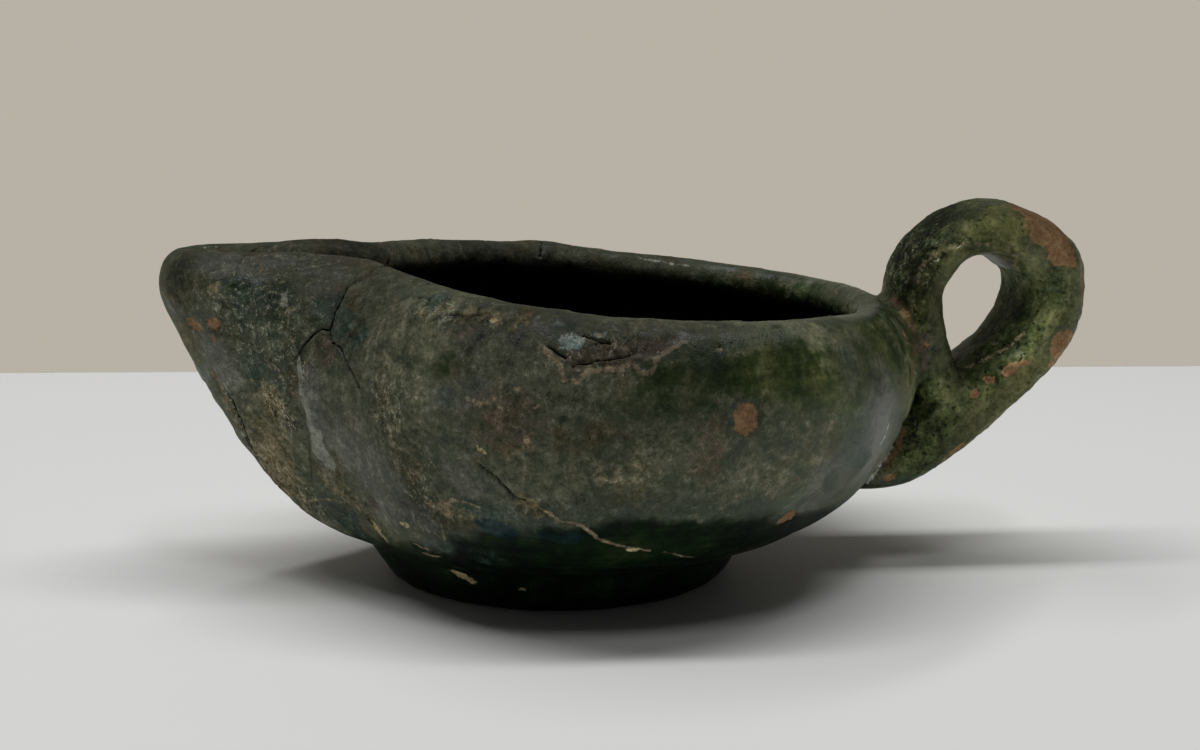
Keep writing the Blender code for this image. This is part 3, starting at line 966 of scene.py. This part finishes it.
class Recipe:
    """A material's or the world's nodes, with short ways to add them. Places are in millimetres."""

    def __init__(self, tree):
        self.tree = tree
        self.nodes = tree.nodes
        self.coordinates = self.node("TexCoord", {}).outputs
        self.place = self.stretch(self.coordinates["Object"], 1.0 / MM, 1.0 / MM, 1.0 / MM)
        self.masks = {}

    def feed(self, socket, value):
        if isinstance(value, bpy.types.NodeSocket):
            self.tree.links.new(value, socket)
        else:
            socket.default_value = value

    def node(self, kind, inputs, **settings):
        """A shader node of this kind with its settings and what goes into its sockets."""
        node = self.nodes.new("ShaderNode" + kind)
        for name, value in settings.items():
            setattr(node, name, value)
        for socket, value in inputs.items():
            self.feed(node.inputs[socket], value)
        return node

    def stretch(self, place, x, y, z):
        return self.node("VectorMath", {0: place, 1: (x, y, z)}, operation="MULTIPLY").outputs[0]

    def turned(self, angles):
        inputs = {"Vector": self.place, "Rotation": angles}
        return self.node("VectorRotate", inputs, rotation_type="EULER_XYZ").outputs["Vector"]

    def mask(self, name):
        if name not in self.masks:
            self.masks[name] = self.node("Attribute", {}, attribute_name=name).outputs["Fac"]
        return self.masks[name]

    def raw_noise(self, size, detail=4.0, roughness=0.6, place=None, distortion=0.0):
        inputs = {"Vector": place or self.place, "Scale": 1.0 / size, "Detail": detail}
        inputs.update({"Roughness": roughness, "Distortion": distortion})
        return self.node("TexNoise", inputs).outputs[0]

    def noise(self, size, detail=4.0, roughness=0.6, place=None, distortion=0.0):
        """Noise spread over the whole span from 0 to 1, with its middle at 0.5."""
        raw = self.raw_noise(size, detail, roughness, place, distortion)
        return self.span(raw, 0.5 - NOISE_SPAN, 0.5 + NOISE_SPAN)

    def edges(self, size, bend):
        """The distance from the borders of random cells of this size, bent by a noise."""
        shift = self.node("TexNoise", {"Vector": self.place, "Scale": 1.6 / size}).outputs["Color"]
        bent = {0: shift, 1: (bend, bend, bend), 2: self.place}
        place = self.node("VectorMath", bent, operation="MULTIPLY_ADD").outputs[0]
        inputs = {"Vector": place, "Scale": 1.0 / size}
        return self.node("TexVoronoi", inputs, feature="DISTANCE_TO_EDGE").outputs["Distance"]

    def maths(self, operation, *values):
        return self.node("Math", dict(enumerate(values)), operation=operation).outputs[0]

    def sum(self, *terms):
        """The sum of (value, weight) pairs."""
        total = 0.0
        for value, weight in terms:
            total = self.maths("MULTIPLY_ADD", value, weight, total)
        return total

    def product(self, *values):
        total = values[0]
        for value in values[1:]:
            total = self.maths("MULTIPLY", total, value)
        return total

    def span(self, value, low, high, kind="LINEAR"):
        """0 below low, 1 above high, or the other way round where low is above high."""
        flip = low > high
        inputs = {"Value": value, "From Min": min(low, high), "From Max": max(low, high)}
        inputs.update({"To Min": float(flip), "To Max": float(not flip)})
        return self.node("MapRange", inputs, interpolation_type=kind).outputs["Result"]

    def between(self, value, low, high):
        return self.span(value, low, high, "SMOOTHSTEP")

    def threads(self, field, width):
        """Thin lines where a raw noise crosses its middle."""
        return self.between(self.maths("ABSOLUTE", self.maths("SUBTRACT", field, 0.5)), width, 0.2 * width)

    def patch(self, mask, grain, spread=1.0, edge=0.12, level=0.5):
        """A mask cut into patches with ragged borders by a noise."""
        mixture = self.sum((mask, 1.0), (grain, spread), (spread, -0.5))
        return self.between(mixture, level - edge, level + edge)

    def blend(self, below, above, share):
        """A colour between two colours."""
        return self.node("Mix", {0: share, 6: below, 7: above}, data_type="RGBA").outputs[2]

    def mixed(self, below, above, share):
        """A number between two numbers."""
        return self.node("Mix", {0: share, 2: below, 3: above}).outputs[0]

    def shade(self, colour, factor):
        """A colour made darker or lighter by a factor."""
        return self.node("VectorMath", {0: colour, "Scale": factor}, operation="SCALE").outputs[0]

    def ramp(self, value, colours):
        """Colours from the least to the greatest value, at even distances."""
        node = self.node("ValToRGB", {0: value})
        elements = node.color_ramp.elements
        while len(elements) < len(colours):
            elements.new(1.0)
        for number, colour in enumerate(colours):
            elements[number].position = (number + 0.5) / len(colours)
            elements[number].color = albedo(*colour)
        return node.outputs[0]


def glaze_colour(r, broad, blots, mottle, grain):
    """The glaze from nearly black to leaf green, with finer mixture on the handle."""
    wheel = r.noise(1.0, 3.0, 0.6, place=r.stretch(r.place, 0.04, 0.04, 1.5))
    tone = r.sum((broad, 0.22), (blots, 0.34), (mottle, 0.24), (grain, 0.10), (wheel, 0.10))
    tone = r.sum((r.span(tone, 0.2, 0.8), 1.0), (r.mask("green"), 0.10), (r.mask("dark"), -0.24))
    bowl = r.ramp(tone, GLAZE)
    low = r.ramp(r.sum((tone, 1.0), (wheel, 0.2), (-0.1, 1.0)), LOW_GLAZE)
    bowl = r.blend(bowl, low, r.mask("low"))
    handle_tone = r.sum((blots, 0.34), (mottle, 0.34), (grain, 0.32))
    handle_tone = r.span(handle_tone, 0.1, 0.9)
    handle_tone = r.sum((handle_tone, 1.0), (r.mask("green"), 0.14), (r.mask("dark"), -0.36), (0.04, 1.0))
    return r.blend(bowl, r.ramp(handle_tone, HANDLE_GLAZE), r.mask("handle"))


def cover(r, colour, stops, mask, tone, grain, spread, edge, strength):
    """Patches of another layer over a colour, where a mask and a noise say, and none beyond the mask."""
    share = r.product(r.patch(r.mask(mask), grain, spread, edge), r.between(r.mask(mask), 0.0, 0.3))
    return r.blend(colour, r.ramp(tone, stops), r.product(share, strength))


def worn_glaze():
    """Dark green glaze under grey-brown dirt, with scratches, stains, bare clay and chips, and painted
    highlights and painted shading.
    """
    material = bpy.data.materials.new("worn_green_glaze")
    material.use_nodes = True
    r = Recipe(material.node_tree)
    shader = r.nodes["Principled BSDF"]
    broad = r.noise(13.0, 3.0)
    blots = r.noise(4.6, 6.0, 0.62, distortion=0.5)
    other_blots = r.noise(6.0, 6.0, 0.62, place=r.turned((1.1, 0.7, 0.4)))
    mottle = r.noise(1.5, 5.0, 0.68, distortion=0.3)
    grain = r.noise(0.55, 4.0, 0.72)
    speck = r.noise(0.26, 2.0, 0.6)
    colour = glaze_colour(r, broad, blots, mottle, grain)

    # Dirt, in a film and in patches
    dirt_tone = r.span(r.sum((mottle, 0.36), (grain, 0.30), (speck, 0.14), (blots, 0.20)), 0.18, 0.82)
    dirt = r.blend(r.ramp(dirt_tone, DIRT), r.ramp(dirt_tone, BROWN_DIRT), r.between(other_blots, 0.5, 0.8))
    film = r.patch(r.mask("dirt"), r.sum((blots, 0.55), (mottle, 0.30), (grain, 0.15)), 1.5, 0.3)
    film = r.product(film, r.between(r.mask("dirt"), 0.02, 0.2))
    colour = r.blend(colour, dirt, r.product(film, 0.9))
    colour = r.blend(colour, r.ramp(dirt_tone, BAND_GREEN), r.product(r.mask("band"), 0.7))
    handle_tone = r.span(r.sum((blots, 0.45), (mottle, 0.35), (grain, 0.20)), 0.15, 0.85)
    covers = (
        (OLIVE, "olive", dirt_tone, blots, 1.2, 0.35, 0.7),
        (MOSS, "moss", handle_tone, blots, 1.0, 0.35, 0.85),
        (TAN, "tan", dirt_tone, mottle, 1.3, 0.35, 0.75),
        (GREY, "grey", dirt_tone, blots, 1.0, 0.35, 0.75),
        (PURPLE, "purple", dirt_tone, mottle, 1.2, 0.3, 0.8),
        (TEAL, "teal", dirt_tone, blots, 1.3, 0.3, 0.75),
        (BLUE, "blue", dirt_tone, blots, 0.9, 0.3, 0.8),
        # Iridescent glaze and painted highlights
        (WHITE, "white", dirt_tone, grain, 1.1, 0.3, 0.8),
        (FLAKE, "flake", dirt_tone, mottle, 0.8, 0.15, 0.85),
    )
    for row in covers:
        colour = cover(r, colour, *row)

    # Scratches, crazing and specks
    upright = r.stretch(r.turned((0.0, 0.25, 0.0)), 1.1, 1.1, 0.3)
    up_threads = r.threads(r.raw_noise(1.0, 2.0, 0.5, upright), 0.015)
    crossing = r.stretch(r.turned((0.0, -0.9, 0.3)), 0.9, 0.9, 0.35)
    cross_threads = r.threads(r.raw_noise(1.0, 2.0, 0.5, crossing), 0.014)
    short = r.between(mottle, 0.5, 0.75)
    scratched = r.sum((r.mask("dirt"), 0.25), (r.mask("crazed"), 0.9))
    pale_lines = r.product(r.maths("MAXIMUM", up_threads, cross_threads), short, scratched)
    colour = r.blend(colour, albedo(*SCRATCH), r.product(pale_lines, 0.85))
    crazing = r.between(r.edges(1.25, 0.9), 0.09, 0.02)
    broken = r.between(r.noise(0.9, 3.0, place=r.turned((0.4, 1.3, 0.8))), 0.45, 0.65)
    dark_lines = r.product(crazing, broken, r.sum((r.mask("crazed"), 0.8), (0.12, 1.0)))
    colour = r.blend(colour, albedo(*INK), dark_lines)
    flecks = r.between(r.sum((grain, 1.0), (r.mask("crazed"), 0.14)), 0.82, 0.92)
    flecks = r.product(flecks, r.sum((r.mask("crazed"), 0.9), (r.mask("dirt"), 0.08)))
    colour = r.blend(colour, albedo(*FLECK), r.product(flecks, 0.9))
    holes = r.between(r.sum((grain, 0.7), (speck, 0.3)), 0.28, 0.18)
    pits = r.product(holes, r.sum((r.mask("handle"), 0.5), (r.mask("dark"), 0.5), (0.2, 1.0)))
    deep_holes = r.between(r.noise(0.85, 1.0, 0.5, place=r.turned((0.9, 0.2, 1.7))), 0.2, 0.1)
    deep_pits = r.product(deep_holes, r.mask("handle"), r.sum((r.mask("dark"), 0.7), (0.35, 1.0)))
    pits = r.maths("MAXIMUM", pits, deep_pits)
    colour = r.blend(colour, albedo(*INK), pits)

    # Bare clay, chips, veins, painted highlights, the handle's seam and cracks, then the dark inside and the
    # painted shading
    clay = r.ramp(r.sum((mottle, 0.4), (grain, 0.4), (speck, 0.2)), CLAY)
    bare = r.patch(r.mask("clay"), r.sum((mottle, 0.6), (grain, 0.4)), 0.7, 0.16)
    far_bare = r.product(r.between(other_blots, 0.86, 0.92), r.between(blots, 0.55, 0.65), r.mask("far"))
    bare = r.maths("MAXIMUM", bare, far_bare)
    colour = r.blend(colour, clay, r.product(bare, 0.94))
    chipped = r.patch(r.mask("cream"), r.sum((mottle, 0.5), (grain, 0.5)), 0.9, 0.12)
    colour = r.blend(colour, r.ramp(dirt_tone, CREAM), chipped)
    vein = r.patch(r.mask("vein"), r.sum((mottle, 0.5), (grain, 0.5)), 1.1, 0.3)
    vein = r.product(vein, r.between(r.mask("vein"), 0.0, 0.2))
    colour = r.blend(colour, r.ramp(dirt_tone, VEIN), r.product(vein, 0.85))
    # Painted highlights along edges and rims
    glint = r.product(r.patch(r.mask("glint"), r.sum((mottle, 0.5), (grain, 0.5)), 1.2, 0.3), 0.75)
    glint = r.product(glint, r.between(r.mask("glint"), 0.0, 0.2))
    colour = r.blend(colour, albedo(*GLINT), glint)
    groove = r.patch(r.mask("groove"), r.sum((mottle, 0.5), (blots, 0.5)), 1.0, 0.25)
    colour = r.blend(colour, r.ramp(dirt_tone, GROOVE), r.product(groove, 0.75))
    crack = r.between(r.sum((r.mask("crack"), 1.0), (grain, 0.25), (-0.125, 1.0)), 0.4, 0.75)
    colour = r.blend(colour, albedo(*CRACK), crack)
    # The inside painted nearly black: soot, and painted shade under the rim
    colour = r.blend(colour, r.ramp(mottle, INSIDE_SOOT_AND_SHADE), r.mask("inside"))
    # Painted light and shade: the colour darkened where the skin faces up, and lightened or darkened by the
    # tone marks
    colour = r.shade(colour, r.mask("tone_and_painted_shading"))
    r.feed(shader.inputs["Base Color"], colour)

    # Gloss: the glaze shines where no dirt lies
    dull = r.sum((film, 0.8), (bare, 0.8), (chipped, 0.6), (r.mask("tan"), 0.4), (r.mask("dark"), 0.6))
    dull = r.sum((dull, 1.0), (r.mask("moss"), 0.6), (r.mask("handle"), 0.3))
    dull = r.between(dull, 0.0, 1.0)
    shine = r.sum((mottle, 0.16), (grain, 0.14), (0.2, 1.0))
    r.feed(shader.inputs["Roughness"], r.mixed(shine, 0.8, dull))
    gloss = r.product(r.mixed(0.42, 0.06, dull), r.sum((1.0, 1.0), (r.mask("low"), -0.85)))
    r.feed(shader.inputs["Specular IOR Level"], gloss)

    # Fine relief
    grains = r.sum((mottle, 0.30), (grain, 0.30), (speck, 0.12))
    height = r.sum((grains, 1.0), (dark_lines, -0.25), (bare, -0.15), (pits, -0.35))
    bump = r.nodes.new("ShaderNodeBump")
    bump.inputs["Distance"].default_value = BUMP_HEIGHT * MM
    r.feed(bump.inputs["Height"], height)
    r.feed(bump.inputs["Strength"], r.mixed(0.5, 1.0, dull))
    r.feed(shader.inputs["Normal"], bump.outputs["Normal"])
    return material


# Camera, floor and light


def build_camera():
    data = bpy.data.cameras.new("photo_camera")
    data.lens = LENS
    data.sensor_width = SENSOR_WIDTH
    data.clip_start = 0.01
    data.clip_end = 20.0
    camera = bpy.data.objects.new("photo_camera", data)
    camera.location = CAMERA_PLACE * MM
    camera.rotation_euler = (0.5 * pi + CAMERA_PITCH, 0.0, CAMERA_TURN)
    bpy.context.scene.collection.objects.link(camera)
    bpy.context.scene.camera = camera


def build_floor():
    """A plain pale floor that ends a little behind the lamp, square to the photograph's view."""
    mesh = bpy.data.meshes.new("floor")
    corners = (
        (-FLOOR_REACH, -FLOOR_REACH, 0.0),
        (FLOOR_REACH, -FLOOR_REACH, 0.0),
        (FLOOR_REACH, FLOOR_BACK, 0.0),
        (-FLOOR_REACH, FLOOR_BACK, 0.0),
    )
    mesh.from_pydata(corners, [], [(0, 1, 2, 3)])
    material = bpy.data.materials.new("pale_floor")
    material.use_nodes = True
    shader = material.node_tree.nodes["Principled BSDF"]
    shader.inputs["Base Color"].default_value = FLOOR_COLOUR
    shader.inputs["Roughness"].default_value = FLOOR_ROUGHNESS
    mesh.materials.append(material)
    floor = bpy.data.objects.new("floor", mesh)
    floor.location = (0.0, 0.0, -FLOOR_GAP)
    floor.rotation_euler = (0.0, 0.0, FLOOR_TURN)
    bpy.context.scene.collection.objects.link(floor)


def build_light(name, place, size, power, colour):
    """A soft rectangular light that looks at the lamp."""
    data = bpy.data.lights.new(name, "AREA")
    data.shape = "RECTANGLE"
    data.size, data.size_y = size
    data.energy = power
    data.color = colour
    light = bpy.data.objects.new(name, data)
    light.location = place
    light.rotation_euler = (-Vector(place)).to_track_quat("-Z", "Y").to_euler()
    bpy.context.scene.collection.objects.link(light)


def build_world():
    """Soft surrounding light: a plain warm grey at the back and a dim room in front."""
    world = bpy.data.worlds.new("soft_room")
    bpy.context.scene.world = world
    world.use_nodes = True
    r = Recipe(world.node_tree)
    split = r.node("SeparateXYZ", {"Vector": r.coordinates["Generated"]}).outputs
    share = r.between(split["Y"], ROOM_FRONT_Y, ROOM_BACK_Y)
    dim = r.mixed(1.0, ROOM_DIM_SHARE, r.between(split["Z"], ROOM_LOW_Z, ROOM_HIGH_Z))
    colour = r.blend(ROOM_FRONT_COLOUR, ROOM_BACK_COLOUR, r.product(share, dim))
    r.feed(r.nodes["Background"].inputs["Color"], colour)


def build():
    bpy.context.scene.view_settings.view_transform = "Standard"
    build_camera()
    lamp = bpy.data.objects.new("worn_lamp", lamp_skin())
    bpy.context.scene.collection.objects.link(lamp)
    lamp.data.materials.clear()
    lamp.data.materials.append(worn_glaze())
    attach(lamp, "root")
    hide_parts("oil_lamp")
    build_floor()
    build_world()
    for name, (place, size, power) in LIGHTS.items():
        build_light(name, place, size, power, WARM_WHITE)


build()
